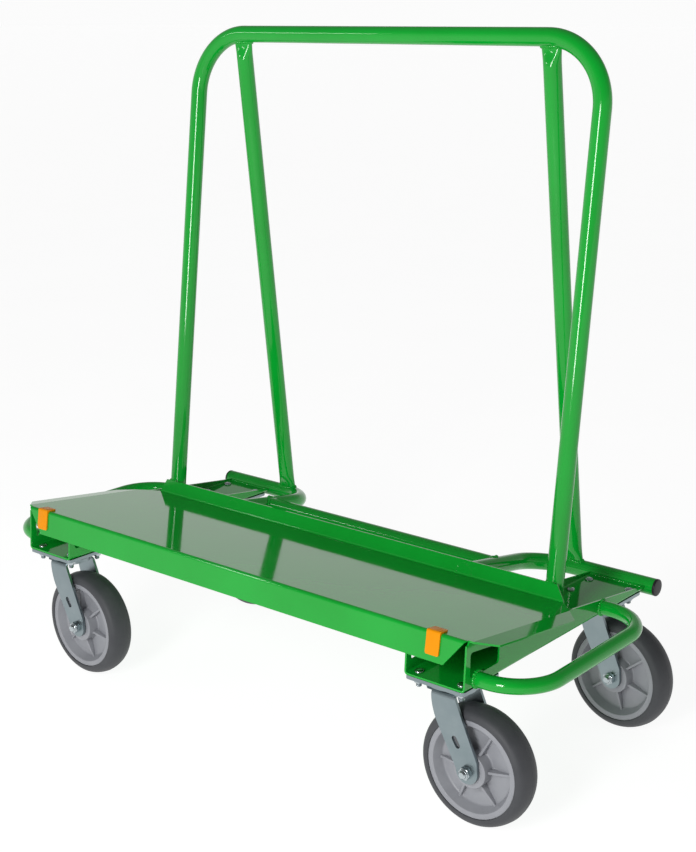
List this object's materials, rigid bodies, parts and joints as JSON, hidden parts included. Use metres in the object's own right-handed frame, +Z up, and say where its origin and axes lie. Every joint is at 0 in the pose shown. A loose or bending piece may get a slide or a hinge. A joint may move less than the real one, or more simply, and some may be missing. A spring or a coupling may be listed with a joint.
{
  "type": "drywall cart",
  "caption": "Cart for carrying drywall on edge: sloped steel deck with a rear lip, leaning tubular push frame, looped side handles and swivel casters.",
  "frame": {"origin": "floor level under the middle of the cart's bounding box", "axes": "+X along the deck to the right end seen from the loading side, +Y from the loading side to the rear, +Z up"},
  "size_m": [1.2544, 0.602, 1.2259],
  "materials": {
    "frame_green": "gloss powder coat",
    "clip_orange": "gloss",
    "cap_black": "satin",
    "zinc_plate": "zinc plated",
    "bright_steel": "polished",
    "hub_grey": "moulded",
    "tyre_grey": "matte"
  },
  "bodies": {
    "frame": {"deck_plate": "frame_green", "channel_left": "frame_green", "channel_right": "frame_green", "handle_left": "frame_green", "handle_right": "frame_green", "push_frame": "frame_green", "brace_left": "frame_green", "brace_right": "frame_green", "rear_tube_left": "frame_green", "rear_tube_right": "frame_green", "cross_tube": "frame_green", "end_caps": "cap_black", "edge_clips": "clip_orange", "caster_bolts": "zinc_plate", "caster_nuts": "zinc_plate", "plate_front_left": "zinc_plate", "plate_front_right": "zinc_plate", "plate_rear_left": "zinc_plate", "plate_rear_right": "zinc_plate", "kingpin_front_left": "zinc_plate", "kingpin_front_right": "zinc_plate", "kingpin_rear_left": "zinc_plate", "kingpin_rear_right": "zinc_plate"},
    "swivel_front_left": {"fork_front_left": "zinc_plate", "balls_front_left": "bright_steel", "axle_bolt_front_left": "zinc_plate", "axle_nut_front_left": "zinc_plate", "sleeve_front_left": "bright_steel"},
    "wheel_front_left": {"tyre_front_left": "tyre_grey", "hub_front_left": "hub_grey", "bearing_front_left": "bright_steel"},
    "swivel_front_right": {"fork_front_right": "zinc_plate", "balls_front_right": "bright_steel", "axle_bolt_front_right": "zinc_plate", "axle_nut_front_right": "zinc_plate", "sleeve_front_right": "bright_steel"},
    "wheel_front_right": {"tyre_front_right": "tyre_grey", "hub_front_right": "hub_grey", "bearing_front_right": "bright_steel"},
    "swivel_rear_left": {"fork_rear_left": "zinc_plate", "balls_rear_left": "bright_steel", "axle_bolt_rear_left": "zinc_plate", "axle_nut_rear_left": "zinc_plate", "sleeve_rear_left": "bright_steel"},
    "wheel_rear_left": {"tyre_rear_left": "tyre_grey", "hub_rear_left": "hub_grey", "bearing_rear_left": "bright_steel"},
    "swivel_rear_right": {"fork_rear_right": "zinc_plate", "balls_rear_right": "bright_steel", "axle_bolt_rear_right": "zinc_plate", "axle_nut_rear_right": "zinc_plate", "sleeve_rear_right": "bright_steel"},
    "wheel_rear_right": {"tyre_rear_right": "tyre_grey", "hub_rear_right": "hub_grey", "bearing_rear_right": "bright_steel"}
  },
  "joints": [
    {"name": "swivel_front_left_turn", "type": "hinge", "parent": "frame", "child": "swivel_front_left", "pos_m": [-0.459, -0.24557, 0.23495], "axis": [0, 0, 1], "continuous": true},
    {"name": "wheel_front_left_spin", "type": "hinge", "parent": "swivel_front_left", "child": "wheel_front_left", "pos_m": [-0.40403, -0.24749, 0.1016], "axis": [0.0349, 0.9994, 0], "continuous": true},
    {"name": "swivel_front_right_turn", "type": "hinge", "parent": "frame", "child": "swivel_front_right", "pos_m": [0.459, -0.24557, 0.23495], "axis": [0, 0, 1], "continuous": true},
    {"name": "wheel_front_right_spin", "type": "hinge", "parent": "swivel_front_right", "child": "wheel_front_right", "pos_m": [0.514, -0.24557, 0.1016], "axis": [0, 1, 0], "continuous": true},
    {"name": "swivel_rear_left_turn", "type": "hinge", "parent": "frame", "child": "swivel_rear_left", "pos_m": [-0.459, 0.20893, 0.23495], "axis": [0, 0, 1], "continuous": true},
    {"name": "wheel_rear_left_spin", "type": "hinge", "parent": "swivel_rear_left", "child": "wheel_rear_left", "pos_m": [-0.40401, 0.20797, 0.1016], "axis": [0.0175, 0.9998, 0], "continuous": true},
    {"name": "swivel_rear_right_turn", "type": "hinge", "parent": "frame", "child": "swivel_rear_right", "pos_m": [0.459, 0.20893, 0.23495], "axis": [0, 0, 1], "continuous": true},
    {"name": "wheel_rear_right_spin", "type": "hinge", "parent": "swivel_rear_right", "child": "wheel_rear_right", "pos_m": [0.51379, 0.20414, 0.1016], "axis": [0.0872, 0.9962, 0], "continuous": true}
  ]
}
